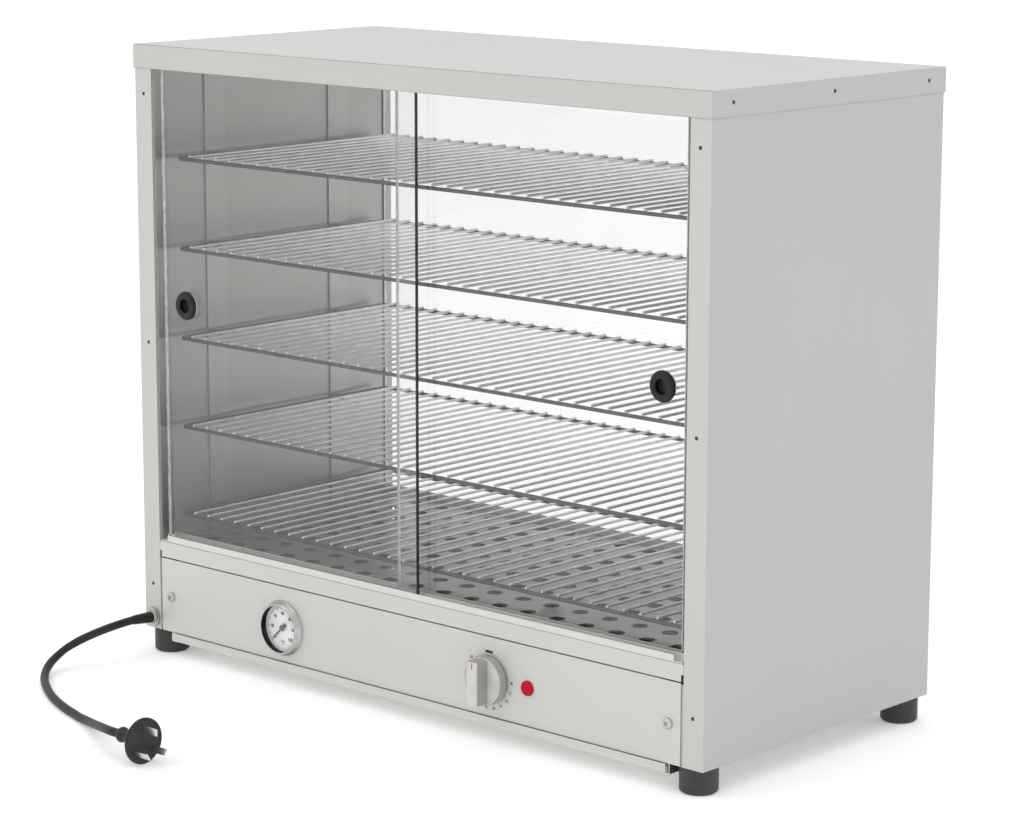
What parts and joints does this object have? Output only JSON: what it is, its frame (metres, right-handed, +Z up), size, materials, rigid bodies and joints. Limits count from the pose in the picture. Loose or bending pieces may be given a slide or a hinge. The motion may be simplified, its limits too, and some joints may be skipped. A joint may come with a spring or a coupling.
{
  "type": "pie display cabinet",
  "caption": "Counter-top heated display cabinet with sliding glass doors, wire racks, a crumb tray, a thermostat knob, a dial thermometer, a pilot lamp and a power cord.",
  "frame": {"origin": "on the surface the cabinet stands on, under the middle of its box without the cord and plug", "axes": "+X along the width towards the right side, +Y from the door side to the rear, +Z up"},
  "size_m": [0.757, 0.632, 0.63],
  "materials": {
    "brushed_steel": "brushed stainless sheet",
    "liner_steel": "dull stainless sheet",
    "rack_wire": "bright plated wire",
    "clear_glass": "clear toughened glass",
    "lens_plastic": "clear window",
    "black_plastic": "satin moulded",
    "foot_plastic": "matt moulded",
    "grey_plastic": "satin moulded",
    "cord_rubber": "matt flexible sheath",
    "chrome": "polished",
    "white_paint": "matt off-white",
    "ceramic": "unglazed",
    "red_plastic": "clear red moulding",
    "element_metal": "heat-darkened sheath",
    "brass": "bright"
  },
  "bodies": {
    "cabinet": {"base_pan": "brushed_steel", "control_box_wall": "liner_steel", "control_panel": "brushed_steel", "cord_gland": "chrome", "element_bracket_left": "brushed_steel", "element_bracket_right": "brushed_steel", "floor_plate": "liner_steel", "foot_front_left": "foot_plastic", "foot_front_right": "foot_plastic", "foot_rear_left": "foot_plastic", "foot_rear_right": "foot_plastic", "front_bottom_track": "brushed_steel", "front_sill": "brushed_steel", "front_top_track": "brushed_steel", "gauge_bezel": "chrome", "gauge_case": "black_plastic", "gauge_dial": "white_paint", "gauge_lens": "lens_plastic", "heating_element": "element_metal", "inner_ceiling": "liner_steel", "lamp_body": "black_plastic", "lamp_lens": "red_plastic", "lid": "brushed_steel", "panel_screw_left": "chrome", "panel_screw_right": "chrome", "plug_body": "black_plastic", "plug_pin_earth": "brass", "plug_pin_live": "brass", "plug_pin_neutral": "brass", "power_cord": "cord_rubber", "rack_1": "rack_wire", "rack_2": "rack_wire", "rack_3": "rack_wire", "rack_4": "rack_wire", "rack_5": "rack_wire", "rack_upright_front_left": "liner_steel", "rack_upright_front_right": "liner_steel", "rack_upright_rear_left": "liner_steel", "rack_upright_rear_right": "liner_steel", "rear_bottom_channel": "brushed_steel", "rear_glass": "clear_glass", "rear_panel": "brushed_steel", "rear_top_channel": "brushed_steel", "side_liner_left": "liner_steel", "side_liner_right": "liner_steel", "side_panel_left": "brushed_steel", "side_panel_right": "brushed_steel", "terminal_block": "ceramic", "thermostat_body": "ceramic", "thermostat_bulb": "brass", "tray_runner_left": "brushed_steel", "tray_runner_right": "brushed_steel"},
    "left_door": {"door_left": "clear_glass", "door_pull_left": "black_plastic"},
    "right_door": {"door_right": "clear_glass", "door_pull_right": "black_plastic"},
    "tray": {"crumb_tray": "brushed_steel"},
    "knob": {"thermostat_knob": "grey_plastic", "thermostat_spindle": "chrome"},
    "needle": {"gauge_needle": "black_plastic"}
  },
  "joints": [
    {"name": "left_door_slide", "type": "slide", "parent": "cabinet", "child": "left_door", "axis": [1, 0, 0], "range_m": [0, 0.32]},
    {"name": "right_door_slide", "type": "slide", "parent": "cabinet", "child": "right_door", "axis": [1, 0, 0], "range_m": [-0.32, 0]},
    {"name": "crumb_tray_slide", "type": "slide", "parent": "cabinet", "child": "tray", "axis": [0, -1, 0], "range_m": [0, 0.2]},
    {"name": "knob_turn", "type": "hinge", "parent": "cabinet", "child": "knob", "pos_m": [0.1145, -0.16, 0.06155], "axis": [0, 1, 0], "range_deg": [0, 280]},
    {"name": "needle_turn", "type": "hinge", "parent": "cabinet", "child": "needle", "pos_m": [-0.1666, -0.16, 0.05985], "axis": [0, 1, 0], "range_deg": [0, 264]}
  ]
}
